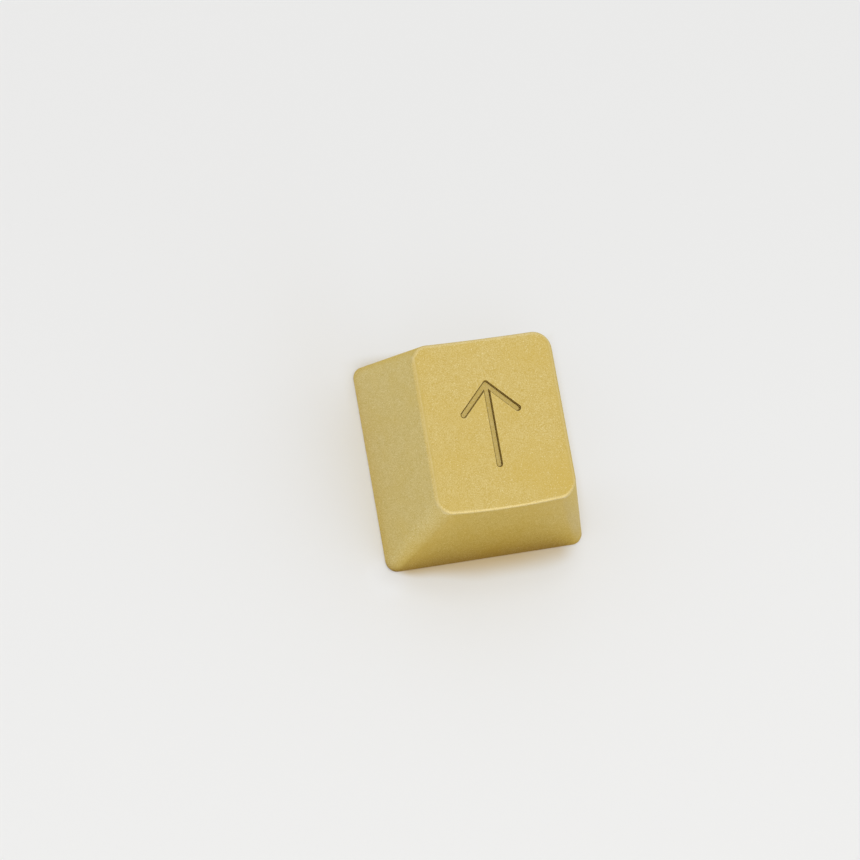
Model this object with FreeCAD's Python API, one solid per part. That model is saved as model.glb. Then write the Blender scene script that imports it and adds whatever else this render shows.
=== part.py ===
"""Machined metal keycap for a single-width key of a mechanical keyboard.

One solid: a tapered shell with a dished top, a milled pocket underneath, and a round post in the
pocket whose cross socket is pushed onto the key switch's stem.

Frame: millimetres, +Z up, +Y towards the back of the keyboard. The origin is on the post's axis, in
the plane of the base rim.
"""

import FreeCAD
import Part
import math
import os

# Outer form: the outline at the base rim, and how each wall leans in from upright
BASE_WIDTH = 18.1
BASE_DEPTH = 18.1
SIDE_LEAN_DEG = 17.6
FRONT_LEAN_DEG = 21.8
BACK_LEAN_DEG = 1.7
BASE_CORNER_RADIUS = 1.0
TOP_CORNER_RADIUS = 1.62

# Dish: a shallow trough that runs from front to back, rising a little towards the back
DISH_HEIGHT = 8.47
DISH_RADIUS = 35.0
DISH_TILT_DEG = 0.8

# Edges: rounded by blasting where they show, and broken by a small chamfer underneath
RIM_ROUND = 0.3
BASE_ROUND = 0.15
EDGE_BREAK = 0.15

# Pocket milled from below
WALL = 1.4
TOP_THICKNESS = 1.8
POCKET_CORNER_RADIUS = 1.5
POCKET_FLOOR_ROUND = 0.6

# Post and its cross socket
POST_DIAMETER = 5.5
POST_INSET = 0.8
POST_ROOT_ROUND = 0.5
SOCKET_LENGTH = 4.1
SOCKET_WIDTH_ACROSS = 1.31
SOCKET_WIDTH_ALONG = 1.17
SOCKET_DEPTH = 4.0
SOCKET_LEAD_IN = 0.12

# Spare length by which a cutting tool or the uncut blank runs past the faces it works on
OVERRUN = 1.0
# Distance within which two heights or radii count as the same
SAME = 1e-4

pocket_floor_height = DISH_HEIGHT - TOP_THICKNESS


def vector(x, y, z):
    return FreeCAD.Vector(x, y, z)


def rounded_rectangle(left, right, front, back, radius, height):
    """Level closed wire with four lines and four quarter-circle corners."""
    corners = [
        (right - radius, front + radius, -90),
        (right - radius, back - radius, 0),
        (left + radius, back - radius, 90),
        (left + radius, front + radius, 180),
    ]

    def on_corner(x, y, degrees):
        angle = math.radians(degrees)
        return vector(x + radius * math.cos(angle), y + radius * math.sin(angle), height)

    edges = []
    for index, (x, y, start) in enumerate(corners):
        arc = [on_corner(x, y, start + turn) for turn in (0, 45, 90)]
        next_x, next_y, next_start = corners[(index + 1) % len(corners)]
        edges.append(Part.Arc(*arc).toShape())
        edges.append(Part.LineSegment(arc[-1], on_corner(next_x, next_y, next_start)).toShape())
    return Part.Wire(edges)


def tapered_block(lower, upper):
    """Solid between two such wires, one above the other: flat walls and ruled corners."""
    faces = [Part.Face(lower), Part.Face(upper)]
    for low, high in zip(lower.OrderedEdges, upper.OrderedEdges):
        if isinstance(low.Curve, Part.Line):
            starts = [edge.valueAt(edge.FirstParameter) for edge in (low, high)]
            ends = [edge.valueAt(edge.LastParameter) for edge in (low, high)]
            around = [starts[0], ends[0], ends[1], starts[1], starts[0]]
            faces.append(Part.Face(Part.makePolygon(around)))
        else:
            faces.append(Part.makeRuledSurface(low, high))
    return Part.Solid(Part.Shell(faces))


def lean_in(lean_deg, height):
    """How far a wall has come in from the finished base outline at a height.

    Easing takes a little off the outline of a leaning wall, so the wall starts that much outside.
    """
    lean = math.radians(lean_deg)
    eased_off = BASE_ROUND * (math.tan(lean) + 1 / math.cos(lean) - 1)
    return height * math.tan(lean) - eased_off


def cap_section(height, wall, radius):
    """Outline of the leaning walls at a height, taken in by a wall thickness."""
    side = BASE_WIDTH / 2 - lean_in(SIDE_LEAN_DEG, height) - wall
    front = -BASE_DEPTH / 2 + lean_in(FRONT_LEAN_DEG, height) + wall
    back = BASE_DEPTH / 2 - lean_in(BACK_LEAN_DEG, height) - wall
    return rounded_rectangle(-side, side, front, back, radius, height)


def edges_at(shape, height):
    """Edges that lie level at a height."""
    return [
        edge
        for edge in shape.Edges
        if abs(edge.BoundBox.ZMin - height) < SAME and abs(edge.BoundBox.ZMax - height) < SAME
    ]


def dish_cutter():
    """Cylinder whose lowest line touches the dish's lowest line above the post."""
    tilt = math.radians(DISH_TILT_DEG)
    along = vector(0, math.cos(tilt), math.sin(tilt))
    upward = vector(0, -math.sin(tilt), math.cos(tilt))
    length = 2 * BASE_DEPTH
    middle = vector(0, 0, DISH_HEIGHT) + upward * DISH_RADIUS
    return Part.makeCylinder(DISH_RADIUS, length, middle - along * (length / 2), along)


def outer_form():
    """Tapered blank with its dish, and with the rim and the base edge eased."""
    side_rise = (BASE_WIDTH / 2) ** 2 / (2 * DISH_RADIUS)
    back_rise = BASE_DEPTH / 2 * math.tan(math.radians(DISH_TILT_DEG))
    blank_height = DISH_HEIGHT + side_rise + back_rise + OVERRUN
    corner_growth = (TOP_CORNER_RADIUS - BASE_CORNER_RADIUS) / DISH_HEIGHT
    blank_corner = BASE_CORNER_RADIUS + corner_growth * blank_height
    base = cap_section(0, 0, BASE_CORNER_RADIUS)
    crown = cap_section(blank_height, 0, blank_corner)
    dished = tapered_block(base, crown).cut(dish_cutter())
    rim = [
        edge
        for face in dished.Faces
        if isinstance(face.Surface, Part.Cylinder) and abs(face.Surface.Radius - DISH_RADIUS) < SAME
        for edge in face.Edges
    ]
    eased = dished.makeFillet(RIM_ROUND, rim)
    return eased.makeFillet(BASE_ROUND, edges_at(eased, 0))


def hollow_shell():
    """Outer form with the pocket milled out of it: walls parallel to the outside, a level floor."""
    mouth = cap_section(0, WALL, POCKET_CORNER_RADIUS)
    floor = cap_section(pocket_floor_height, WALL, POCKET_CORNER_RADIUS)
    broken_edge = tapered_block(
        cap_section(0, WALL - EDGE_BREAK, POCKET_CORNER_RADIUS),
        cap_section(EDGE_BREAK, WALL, POCKET_CORNER_RADIUS),
    )
    milled = outer_form().cut(tapered_block(mouth, floor)).cut(broken_edge)
    return milled.makeFillet(POCKET_FLOOR_ROUND, edges_at(milled, pocket_floor_height))


def with_post(shell):
    """Shell with the round post standing down from the pocket's floor, its root rounded."""
    post_length = pocket_floor_height + TOP_THICKNESS / 2 - POST_INSET
    post = Part.makeCylinder(POST_DIAMETER / 2, post_length, vector(0, 0, POST_INSET))
    post = post.makeChamfer(EDGE_BREAK, edges_at(post, POST_INSET))
    joined = shell.fuse(post).removeSplitter()
    root = [
        edge
        for edge in edges_at(joined, pocket_floor_height)
        if isinstance(edge.Curve, Part.Circle) and abs(edge.Curve.Radius - POST_DIAMETER / 2) < SAME
    ]
    return joined.makeFillet(POST_ROOT_ROUND, root)


def cross_prism(grow, bottom, top):
    """Upright cross of the socket's two slots, each grown by an amount on every side."""
    arms = []
    for width, depth in (
        (SOCKET_LENGTH, SOCKET_WIDTH_ACROSS),
        (SOCKET_WIDTH_ALONG, SOCKET_LENGTH),
    ):
        width += 2 * grow
        depth += 2 * grow
        corner = vector(-width / 2, -depth / 2, bottom)
        arms.append(Part.makeBox(width, depth, top - bottom, corner))
    return arms[0].fuse(arms[1]).removeSplitter()


def cross_socket():
    """Socket with a small lead-in chamfer at its mouth."""
    slot = cross_prism(0, POST_INSET - OVERRUN, POST_INSET + SOCKET_DEPTH)
    mouth = cross_prism(SOCKET_LEAD_IN, POST_INSET - SOCKET_LEAD_IN, POST_INSET + SOCKET_LEAD_IN)
    lead_in = mouth.makeChamfer(SOCKET_LEAD_IN, edges_at(mouth, POST_INSET + SOCKET_LEAD_IN))
    return slot.fuse(lead_in)


def keycap():
    return with_post(hollow_shell()).cut(cross_socket())


os.makedirs("parts", exist_ok=True)
cap = keycap()
cap.exportStep("parts/keycap.step")
box = cap.optimalBoundingBox()
print("valid", cap.isValid(), "solids", len(cap.Solids), "faces", len(cap.Faces))
print("size", round(box.XLength, 3), round(box.YLength, 3), round(box.ZLength, 3))
print("lowest", round(box.ZMin, 4), "volume mm3", round(cap.Volume, 2))
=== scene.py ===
"""Looks of a machined brass keycap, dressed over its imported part."""

import math

import bmesh
import bpy
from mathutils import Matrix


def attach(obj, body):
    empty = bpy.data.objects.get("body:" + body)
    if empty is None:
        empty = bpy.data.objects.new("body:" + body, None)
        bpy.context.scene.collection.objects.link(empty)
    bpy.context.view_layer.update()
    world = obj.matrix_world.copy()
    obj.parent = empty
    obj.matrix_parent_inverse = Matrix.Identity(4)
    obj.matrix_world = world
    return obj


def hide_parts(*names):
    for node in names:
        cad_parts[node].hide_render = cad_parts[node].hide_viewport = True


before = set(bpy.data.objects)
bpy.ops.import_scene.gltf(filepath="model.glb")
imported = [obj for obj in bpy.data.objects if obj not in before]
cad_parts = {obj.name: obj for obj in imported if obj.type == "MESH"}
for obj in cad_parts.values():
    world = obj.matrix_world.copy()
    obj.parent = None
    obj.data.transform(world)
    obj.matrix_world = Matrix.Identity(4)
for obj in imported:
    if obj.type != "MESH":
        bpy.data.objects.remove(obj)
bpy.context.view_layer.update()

# Keycap: one piece of brass, milled from bar and bead-blasted all over, so every edge is a little
# soft. The legend is cut into the dished top afterwards with a small end mill, to an even depth.


class Link:
    """A node tree's socket. Operators on links add the Math nodes that work them out."""

    def __init__(self, tree, socket=None):
        self.tree = tree
        self.socket = socket

    def add(self, kind, settings=None, sockets=None, out=0):
        """Adds a node: its settings first, then its sockets' values or links."""
        node = self.tree.nodes.new(kind)
        for name, value in (settings or {}).items():
            setattr(node, name, value)
        for name, value in (sockets or {}).items():
            for item in value if isinstance(value, list) else [value]:
                if isinstance(item, Link):
                    self.tree.links.new(item.socket, node.inputs[name])
                else:
                    node.inputs[name].default_value = item
        return Link(self.tree, node.outputs[out] if node.outputs else None)

    def maths(self, operation, *others):
        values = dict(enumerate([self, *others]))
        return self.add("ShaderNodeMath", {"operation": operation}, values)

    def absolute(self):
        return self.maths("ABSOLUTE")

    def axis(self, name):
        return self.add("ShaderNodeSeparateXYZ", None, {"Vector": self}, name)

    def distance(self, place):
        points = {0: self, 1: place}
        return self.add("ShaderNodeVectorMath", {"operation": "DISTANCE"}, points, "Value")

    def fade(self, full, gone):
        """1 up to full and 0 from gone on, with a smooth slope between. Either may be the larger."""
        sockets = {"Value": self, "From Min": full, "From Max": gone, "To Min": 1.0, "To Max": 0.0}
        return self.add("ShaderNodeMapRange", {"interpolation_type": "SMOOTHSTEP"}, sockets)

    def mix(self, first, second):
        """Colour that goes from the first to the second as this share goes from 0 to 1."""
        return self.add("ShaderNodeMix", {"data_type": "RGBA"}, {0: self, 6: first, 7: second}, 2)

    def __add__(self, other):
        return self.maths("ADD", other)

    def __mul__(self, other):
        return self.maths("MULTIPLY", other)

    def __sub__(self, other):
        return self.maths("SUBTRACT", other)

    def __rsub__(self, other):
        return self.add("ShaderNodeMath", {"operation": "SUBTRACT"}, {0: other, 1: self})

    __radd__ = __add__
    __rmul__ = __mul__


# the blank: the part's own mesh with its triangles joined up, and its dish laid out in narrow strips
dish_low = 0.00847
dish_radius = 0.035
dish_rise = math.tan(math.radians(0.8))
strip_width = 0.00025
strips_each_side = 28
rim_round = 0.0003
rim_steepest = 0.42
rim_flattest = 0.985
same_point = 4e-7
on_the_dish = 2e-6
on_the_cut = 1e-7


def dish_height(x, y):
    return dish_low + y * dish_rise + dish_radius - math.sqrt(dish_radius**2 - x**2)


def below_dish(place):
    return dish_height(place.x, place.y) - place.z


def in_dish(face):
    return all(abs(below_dish(vert.co)) < on_the_dish for vert in face.verts)


blank = bmesh.new()
blank.from_mesh(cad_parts["keycap"].data)
bmesh.ops.remove_doubles(blank, verts=blank.verts, dist=same_point)
dish_faces = [face for face in blank.faces if in_dish(face)]
dish_geometry = dict.fromkeys(item for face in dish_faces for item in (face, *face.edges, *face.verts))
for step in range(-strips_each_side, strips_each_side + 1):
    dish_geometry = bmesh.ops.bisect_plane(
        blank,
        geom=list(dish_geometry),
        dist=on_the_cut,
        plane_co=(step * strip_width, 0, 0),
        plane_no=(1, 0, 0),
    )["geom"]
for vert in (item for item in dish_geometry if isinstance(item, bmesh.types.BMVert)):
    vert.co.z = dish_height(vert.co.x, vert.co.y)
bmesh.ops.triangulate(blank, faces=[face for face in blank.faces if len(face.verts) > 4])
blank.normal_update()
rim = blank.faces.layers.float.new("rim")
# each rim face's share of painted highlight and of smoothing by wear: full on the front and back rims,
# none on the sides
for face in blank.faces:
    near_top = below_dish(face.calc_center_median()) < rim_round
    if near_top and rim_steepest < face.normal.z < rim_flattest:
        face[rim] = abs(face.normal.y) / math.hypot(face.normal.x, face.normal.y)
blank_mesh = bpy.data.meshes.new("keycap_blank")
blank.to_mesh(blank_mesh)
blank.free()
keycap = bpy.data.objects.new("engraved_keycap", blank_mesh)
bpy.context.scene.collection.objects.link(keycap)

# the legend: an upward arrow, cut by a tapered end mill that follows the dish, its edges eased
legend_sizes = {
    "Dish Height": dish_low,
    "Dish Radius": dish_radius,
    "Dish Rise": dish_rise,
    "Groove Depth": 0.00016,
    "Groove Width": 0.00046,
    "Floor Width": 0.00036,
    "Edge Ease": 0.00005,
    "Plunge": 0.000008,
    "Tip": 0.0049,
    "Tail": -0.0020,
    "Barb Reach": 0.0024,
}
stroke_points = 12
mill_sides = 40
same_stop = 1e-5
furrow_depths_tall = 3.0
ease_depths_tall = 4.0
wall_from_upright = 0.25
groove_floor_shade_share = 0.2
engraving = bpy.data.node_groups.new("engraved_legend", "GeometryNodeTree")
engraving.interface.new_socket("Blank", in_out="INPUT", socket_type="NodeSocketGeometry")
for name in legend_sizes:
    engraving.interface.new_socket(name, in_out="INPUT", socket_type="NodeSocketFloat")
engraving.interface.new_socket("Brass", in_out="INPUT", socket_type="NodeSocketMaterial")
engraving.interface.new_socket("Cap", in_out="OUTPUT", socket_type="NodeSocketGeometry")
start = Link(engraving)
given = engraving.nodes.new("NodeGroupInput")
size = {socket.name: Link(engraving, socket) for socket in given.outputs}


def point(x, y):
    return start.add("ShaderNodeCombineXYZ", None, {"X": x, "Y": y})


def upward(z):
    return start.add("ShaderNodeCombineXYZ", None, {"Z": z})


def stroke(first, last):
    return start.add("GeometryNodeCurvePrimitiveLine", None, {"Start": first, "End": last})


barb_foot = size["Tip"] - size["Barb Reach"]
tip = point(0.0, size["Tip"])
strokes = [
    stroke(point(0.0, size["Tail"]), tip),
    stroke(point(0.0 - size["Barb Reach"], barb_foot), tip),
    stroke(point(size["Barb Reach"], barb_foot), tip),
]
path = start.add("GeometryNodeJoinGeometry", None, {"Geometry": strokes})
stops = start.add("GeometryNodeCurveToMesh", None, {"Curve": path})
stops = start.add("GeometryNodeMergeByDistance", None, {"Geometry": stops, "Distance": same_stop})
path = start.add("GeometryNodeResampleCurve", {"mode": "COUNT"}, {"Curve": path, "Count": stroke_points})
path = start.add("GeometryNodeSetCurveNormal", {"mode": "Z_UP"}, {"Curve": path})
place = start.add("GeometryNodeInputPosition")
across = place.axis("X")
dish = size["Dish Height"] + place.axis("Y") * size["Dish Rise"]
dish = dish + (across * across).maths("DIVIDE", size["Dish Radius"] * 2.0)


def milled(depth, low_width, high_width, tall):
    """Cutter that follows the strokes at a depth, between two widths, with round ends."""
    laid = start.add("GeometryNodeSetPosition", None, {"Geometry": path, "Offset": upward(dish - depth)})
    profile = start.add(
        "GeometryNodeCurvePrimitiveQuadrilateral",
        {"mode": "TRAPEZOID"},
        {"Height": tall, "Bottom Width": high_width, "Top Width": low_width, "Offset": 0.0},
    )
    raised = point(0.0, tall * -0.5)
    profile = start.add("GeometryNodeTransform", None, {"Geometry": profile, "Translation": raised})
    furrows = start.add(
        "GeometryNodeCurveToMesh", None, {"Curve": laid, "Profile Curve": profile, "Fill Caps": True}
    )
    mill = start.add(
        "GeometryNodeMeshCone",
        None,
        {
            "Vertices": mill_sides,
            "Radius Top": high_width * 0.5,
            "Radius Bottom": low_width * 0.5,
            "Depth": tall,
        },
    )
    deeper = upward(dish - depth - size["Plunge"])
    plunges = start.add("GeometryNodeSetPosition", None, {"Geometry": stops, "Offset": deeper})
    plunges = start.add("GeometryNodeInstanceOnPoints", None, {"Points": plunges, "Instance": mill})
    plunges = start.add("GeometryNodeRealizeInstances", None, {"Geometry": plunges})
    return [furrows, plunges]


wall_slant = size["Groove Width"] - size["Floor Width"]
furrow = milled(
    size["Groove Depth"],
    size["Floor Width"],
    size["Floor Width"] + wall_slant * furrow_depths_tall,
    size["Groove Depth"] * furrow_depths_tall,
)
eased = milled(
    size["Edge Ease"],
    size["Groove Width"],
    size["Groove Width"] + size["Edge Ease"] * (2 * ease_depths_tall),
    size["Edge Ease"] * ease_depths_tall,
)
cutter = start.add("GeometryNodeJoinGeometry", None, {"Geometry": furrow + eased})
# the cutter's faces carry a share of painted shade: full on the steep walls, less on the groove's floor
upright = 1.0 - start.add("GeometryNodeInputNormal").axis("Z").absolute()
on_wall = (upright * (1 / wall_from_upright)).maths("MINIMUM", 1.0)
painted_groove_shade = on_wall * (1.0 - groove_floor_shade_share) + groove_floor_shade_share
cutter = start.add(
    "GeometryNodeStoreNamedAttribute",
    {"data_type": "FLOAT", "domain": "FACE"},
    {"Geometry": cutter, "Name": "groove", "Value": painted_groove_shade},
)
cut = start.add(
    "GeometryNodeMeshBoolean",
    {"operation": "DIFFERENCE", "solver": "EXACT"},
    {"Mesh 1": size["Blank"], "Mesh 2": cutter, "Self Intersection": True},
)
cut = start.add("GeometryNodeRealizeInstances", None, {"Geometry": cut})
cut = start.add("GeometryNodeSetMaterial", None, {"Geometry": cut, "Material": size["Brass"]})
start.add("NodeGroupOutput", None, {"Cap": cut})

# the finish: brass with a fine blasted grain and a little tarnish, most of it where a finger rests.
# Light is painted into its colour too: glints in the grain, a highlight on the front and back rims,
# which are also smoother as if rubbed, and shade in the legend
brass = bpy.data.materials.new("bead_blasted_brass")
brass.use_nodes = True
surface = brass.node_tree.nodes["Principled BSDF"]
surface.inputs["Metallic"].default_value = 1.0
surface.inputs["Specular Tint"].default_value = (1.0, 0.92, 0.55, 1)
grain = Link(brass.node_tree)
spot = grain.add("ShaderNodeTexCoord", None, None, "Object")
sideways = spot.axis("X")
aside = sideways.absolute()
depth = spot.axis("Y")
height = spot.axis("Z")


def speckle(per_metre, detail):
    sockets = {"Vector": spot, "Scale": per_metre, "Detail": detail}
    return grain.add("ShaderNodeTexNoise", None, sockets)


pits = speckle(per_metre=10000.0, detail=2.0)
blotches = speckle(per_metre=1500.0, detail=2.0)
blotch_share = 0.3
pit_share = 1.7
grain_contrast = 2.1
grain_level = 0.47
dark_brass = (0.608, 0.442, 0.117, 1)
light_brass = (0.728, 0.578, 0.230, 1)
spread = (blotches * blotch_share + pits * pit_share - 1.0) * grain_contrast + grain_level
tone = spread.mix(dark_brass, light_brass)

tarnish_start = 0.42
tarnish_share = 1.4
finger_place = (0.0048, -0.0040, 0.0088)
finger_reach = 0.0045
finger_share = 0.65
tarnished_brass = (0.65, 0.47, 0.115, 1)
tarnish = (speckle(per_metre=380.0, detail=2.0) - tarnish_start) * tarnish_share
handled = (1.0 - spot.distance(finger_place) * (1 / finger_reach)).maths("MAXIMUM", 0.0)
tone = (tarnish + handled * finger_share).mix(tone, tarnished_brass)

# painted glints: sparse bright specks in the colour that stand in for light sparkling off the blasted
# pits
glint_start = 0.65
glint_gain = 8.0
glint_share = 0.5
painted_glint_brass = (0.86, 0.75, 0.42, 1)
painted_glints = ((speckle(per_metre=13000.0, detail=0.0) - glint_start) * glint_gain).maths("MAXIMUM", 0.0)
tone = (painted_glints * glint_share).mix(tone, painted_glint_brass)

# along the side rims a painted highlight line runs between two lines of painted shade, each given by how
# far in from the wall's plane it is, the half widths at which it is full and gone, its share and its
# colour
side_foot = 0.009105
side_slope = 0.3172
side_cosine = 0.953
painted_side_rim_lines = [
    (0.00008, 0.00002, 0.00008, 0.22, (0.54, 0.42, 0.17, 1)),
    (0.00018, 0.0, 0.00010, 0.6, (0.68, 0.54, 0.24, 1)),
    (0.00032, 0.0, 0.00014, 0.5, (0.61, 0.46, 0.135, 1)),
]
side_inset = (side_foot - height * side_slope - aside) * side_cosine
by_rim = height.fade(0.0087, 0.0085)
for line_inset, full, gone, share, colour in painted_side_rim_lines:
    on_line = (side_inset - line_inset).absolute().fade(full, gone)
    tone = (on_line * by_rim * share).mix(tone, colour)

# the tone turns softly where the front wall meets its corners: a little painted shade on both corners,
# and a little painted highlight on the wall beside the left one
front_foot = 0.009122
front_slope = 0.4
front_cosine = 0.9285
corner_line_foot = 0.008105
corner_line_slope = 0.3904
turn_share = 0.2
painted_corner_highlight = (0.77, 0.58, 0.19, 1)
painted_corner_shade = (0.585, 0.42, 0.12, 1)
front_inset = (front_foot - height * front_slope + depth) * front_cosine
by_front = front_inset.fade(0.0002, 0.0007) * height.fade(0.0076, 0.0084)
past_line = aside + height * corner_line_slope - corner_line_foot
on_front = past_line.fade(-0.0003, 0.0004)
on_left = sideways.fade(-0.002, 0.002)
beside_line = on_front * (0.0 - past_line).fade(0.0002, 0.0022) * on_left
on_corner = (1.0 - on_front) * past_line.fade(0.0002, 0.0012)
tone = (beside_line * by_front * turn_share).mix(tone, painted_corner_highlight)
tone = (on_corner * by_front * turn_share).mix(tone, painted_corner_shade)

rim_highlight_share = 1.2
rim_highlight_start = 0.1
painted_rim_highlight = (0.78, 0.645, 0.33, 1)
painted_legend_shade = (0.12, 0.065, 0.008, 1)
smoothest = 0.40
pit_roughness = 0.12
rubbed_smoothing = 0.06
dent_strength = 0.6
dent_depth = 2e-5
wear_and_painted_sheen = grain.add("ShaderNodeAttribute", {"attribute_name": "rim"}, None, "Fac")
cut_in = grain.add("ShaderNodeAttribute", {"attribute_name": "groove"}, None, "Fac")
# painted highlight on the front and back rims, speckled by the pits; the rims are also a little smoother
tone = (wear_and_painted_sheen * (pits * rim_highlight_share - rim_highlight_start)).mix(tone, painted_rim_highlight)
# painted shade in the legend's groove, darkest on its walls
tone = cut_in.mix(tone, painted_legend_shade)
roughness = smoothest + pits * pit_roughness - wear_and_painted_sheen * rubbed_smoothing
dent_sockets = {"Strength": dent_strength, "Distance": dent_depth, "Height": pits}
dents = grain.add("ShaderNodeBump", None, dent_sockets)
brass.node_tree.links.new(tone.socket, surface.inputs["Base Color"])
brass.node_tree.links.new(roughness.socket, surface.inputs["Roughness"])
brass.node_tree.links.new(dents.socket, surface.inputs["Normal"])

# the cap as it comes off the machine: engraved, with crisp edges kept where faces meet steeply
crisp_edge = math.radians(30)
engraver = keycap.modifiers.new("engrave", "NODES")
engraver.node_group = engraving
for item in engraving.interface.items_tree:
    if item.in_out == "INPUT" and item.name in legend_sizes:
        engraver[item.identifier] = legend_sizes[item.name]
    elif item.in_out == "INPUT" and item.name == "Brass":
        engraver[item.identifier] = brass
evaluated = keycap.evaluated_get(bpy.context.evaluated_depsgraph_get())
engraved = bpy.data.meshes.new_from_object(evaluated)
keycap.modifiers.remove(engraver)
keycap.data = engraved
finished = bmesh.new()
finished.from_mesh(engraved)
for face in finished.faces:
    face.smooth = True
for edge in finished.edges:
    edge.smooth = edge.calc_face_angle(0.0) < crisp_edge
finished.to_mesh(engraved)
finished.free()
even = keycap.modifiers.new("even_shading", "WEIGHTED_NORMAL")
even.keep_sharp = True
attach(keycap, "root")
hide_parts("keycap")

# Floor: a sheet of matt pale paper that the cap stands on, with light and shade painted on it. A narrow
# warm strip in front is painted light off the brass, with a painted contact shadow at the base. Most of
# the shade behind and to the right, and some at the front left corner, is taken off as seen. What the
# brass mirrors of it is painted: warm and dark close in front, and cool to the sides.
floor_half = 1.5
floor_corners = [
    (-floor_half, -floor_half, 0),
    (floor_half, -floor_half, 0),
    (floor_half, floor_half, 0),
    (-floor_half, floor_half, 0),
]
floor_mesh = bpy.data.meshes.new("floor")
floor_mesh.from_pydata(floor_corners, [], [(0, 1, 2, 3)])
floor = bpy.data.objects.new("floor", floor_mesh)
bpy.context.scene.collection.objects.link(floor)
paper = bpy.data.materials.new("pale_floor")
paper.use_nodes = True
sheet = paper.node_tree.nodes["Principled BSDF"]
sheet.inputs["Roughness"].default_value = 0.9
ground = Link(paper.node_tree)
spot = ground.add("ShaderNodeTexCoord", None, None, "Object")
across = spot.axis("X")
along = spot.axis("Y")


def ray(kind):
    return ground.add("ShaderNodeLightPath", None, None, kind)


def span(left_gone, left_full, right_full, right_gone):
    """1 between the two full places across the floor, fading out past them to either side."""
    return across.fade(right_full, right_gone) * across.fade(left_full, left_gone)


# the plain sheet, painted a little lighter towards the front as light falls, and zones of painted cool
# reflection to the front and the sides that only the brass mirrors
pale_behind = (0.825, 0.824, 0.818, 1)
pale_in_front = (0.865, 0.864, 0.855, 1)
cool_front = (0.845, 0.865, 0.97, 1)
cool_side = (0.845, 0.91, 1.17, 1)
cool_right_corner = (0.73, 0.785, 1.42, 1)
cool_left_wall = (0.90, 0.99, 1.42, 1)
mirrored = ray("Is Glossy Ray")
in_front = along.fade(-0.020, -0.011)
right_side = across.fade(0.0120, 0.0088)
right_corner = span(0.0086, 0.0106, 0.0135, 0.0175) * along.fade(-0.0065, -0.0025)
left_wall = across.fade(-0.0105, -0.0085) * along.fade(-0.008, -0.014)
further_left = across.fade(-0.0145, -0.0105)
shade = along.fade(-0.045, 0.045).mix(pale_behind, pale_in_front)
shade = (in_front * mirrored).mix(shade, cool_front)
shade = (right_side * mirrored).mix(shade, cool_side)
shade = (right_corner * mirrored).mix(shade, cool_right_corner)
shade = (left_wall * mirrored).mix(shade, cool_left_wall)
shade = (further_left * mirrored).mix(shade, cool_side)

# painted shade in front, warm and dark, that only the front wall mirrors, weaker towards its left end
front_edge = 0.009
painted_warm_reflection_far = (0.83, 0.85, 0.30, 1)
painted_warm_shade_near = (0.65, 0.56, 0.02, 1)
warm_far_share = 0.5
warm_near_share = 0.93
left_falloff = 1.5
off_front = (along + front_edge).absolute()
before_wall = across.fade(0.0043, 0.0118) * across.fade(0.003, -0.019).maths("POWER", left_falloff)
far_zone = off_front.fade(0.003, 0.012) * before_wall
near_zone = off_front.fade(0.0, 0.012) * before_wall
shade = (far_zone * mirrored * warm_far_share).mix(shade, painted_warm_reflection_far)
shade = (near_zone * mirrored * warm_near_share).mix(shade, painted_warm_shade_near)

# the warm strip at the base, widest in the middle, painted as light off the brass, and a painted contact
# shadow where the base meets the floor
strip_middle = 0.0022
strip_ends_reach = 0.0003
strip_middle_reach = 0.0011
strip_left_reach = 0.0008
strip_share = 0.65
strip_less_at_right = 0.18
painted_bounce_light = (0.50, 0.31, 0.013, 1)
contact_ends_reach = 0.0015
contact_middle_reach = 0.0030
contact_share = 0.10
contact_mirrored_share = 0.87
painted_contact_shadow = (0.20, 0.10, 0.0, 1)
by_middle = (across - strip_middle).absolute().fade(0.0025, 0.0085)
by_left_end = across.fade(-0.0058, -0.0090)
strip_reach = by_middle * strip_middle_reach + strip_ends_reach + by_left_end * strip_left_reach
strip = off_front.maths("DIVIDE", strip_reach).fade(0.0, 1.0)
strip = strip * span(-0.0086, -0.0070, 0.0064, 0.0086)
strip = strip * (strip_share - across.fade(0.007, 0.002) * strip_less_at_right)
contact_reach = span(-0.0105, -0.0025, 0.0043, 0.0118) * contact_middle_reach + contact_ends_reach
contact = off_front.maths("DIVIDE", contact_reach).fade(0.0, 1.0)
contact = contact * span(-0.0108, -0.0083, 0.0066, 0.0100)
shade = strip.mix(shade, painted_bounce_light)
shade = (contact * (mirrored * contact_mirrored_share + contact_share)).mix(shade, painted_contact_shadow)

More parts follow.
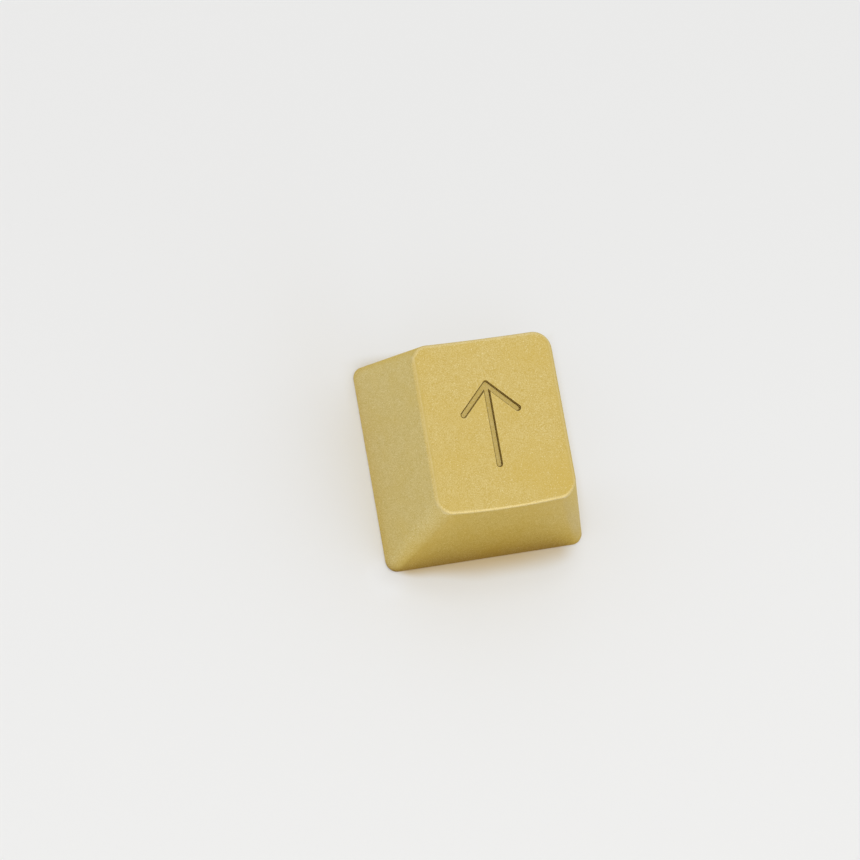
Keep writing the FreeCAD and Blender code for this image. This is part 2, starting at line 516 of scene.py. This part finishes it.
# the shade that is taken off, by letting the sheet glow there as it is seen and mirrored
base_half = 0.009
glow_share = 0.75
corner_place = (-0.0092, -0.0096, 0.0)
corner_share = 0.6
off_base = across.absolute().maths("MAXIMUM", along.absolute()) - base_half
behind = along.fade(0.0095, 0.002) * across.fade(-0.005, -0.014)
to_the_right = across.fade(0.0095, 0.0055) * along.fade(-0.002, -0.010)
unshaded = behind.maths("MAXIMUM", to_the_right) * (1.0 - off_base.fade(0.0002, 0.0012))
by_corner = spot.distance(corner_place).fade(0.0006, 0.0026)
by_corner = by_corner * (1.0 - off_base.fade(-0.0003, 0.0004)) * corner_share
unshaded = unshaded.maths("MAXIMUM", by_corner)
seen = ray("Is Camera Ray") + ray("Is Glossy Ray") + ray("Is Transmission Ray")
seen = seen.maths("MINIMUM", 1.0)
glow = ground.add("ShaderNodeEmission", None, {"Color": shade})
matt = Link(paper.node_tree, sheet.outputs["BSDF"])
lit = ground.add("ShaderNodeMixShader", None, {0: unshaded * seen * glow_share, 1: matt, 2: glow})
paper.node_tree.links.new(shade.socket, sheet.inputs["Base Color"])
paper.node_tree.links.new(lit.socket, paper.node_tree.nodes["Material Output"].inputs["Surface"])
floor_mesh.materials.append(paper)

# Light: an even white tent all round the cap, and a soft lamp low in front of it, a little to the
# right, that catches the rim. The lamp shows only in what the brass mirrors.
tent_colour = (1, 1, 1, 1)
tent_strength = 1.0
lamp_width = 0.36
lamp_power = 0.17
lamp_place = (0.14, -0.43, 0.27)
lamp_turns = (math.radians(60), 0, math.radians(18))
tent = bpy.data.worlds.new("tent")
tent.use_nodes = True
tent.node_tree.nodes["Background"].inputs["Color"].default_value = tent_colour
tent.node_tree.nodes["Background"].inputs["Strength"].default_value = tent_strength
bpy.context.scene.world = tent
lamp = bpy.data.lights.new("softbox", "AREA")
lamp.size = lamp_width
lamp.energy = lamp_power
softbox = bpy.data.objects.new("softbox", lamp)
softbox.location = lamp_place
softbox.rotation_euler = lamp_turns
softbox.visible_diffuse = False
bpy.context.scene.collection.objects.link(softbox)

# Camera: where the photograph was taken from, a long lens that looks down at the cap from its front
# left. Its place and its lens come from fitting the cap's outline.
picture_width = 860
lens_in_pixels = 2544.97
sensor_width = 36.0
camera_place = (-0.067127, -0.025474, 0.211018)
camera_turns = (10.2073, -15.3631, -10.4263)
lens = bpy.data.cameras.new("camera")
lens.sensor_width = sensor_width
lens.lens = lens_in_pixels / picture_width * sensor_width
lens.clip_start = 0.01
camera = bpy.data.objects.new("camera", lens)
camera.location = camera_place
camera.rotation_euler = [math.radians(turn) for turn in camera_turns]
bpy.context.scene.collection.objects.link(camera)
bpy.context.scene.camera = camera
bpy.context.scene.view_settings.view_transform = "Standard"

bpy.context.view_layer.update()
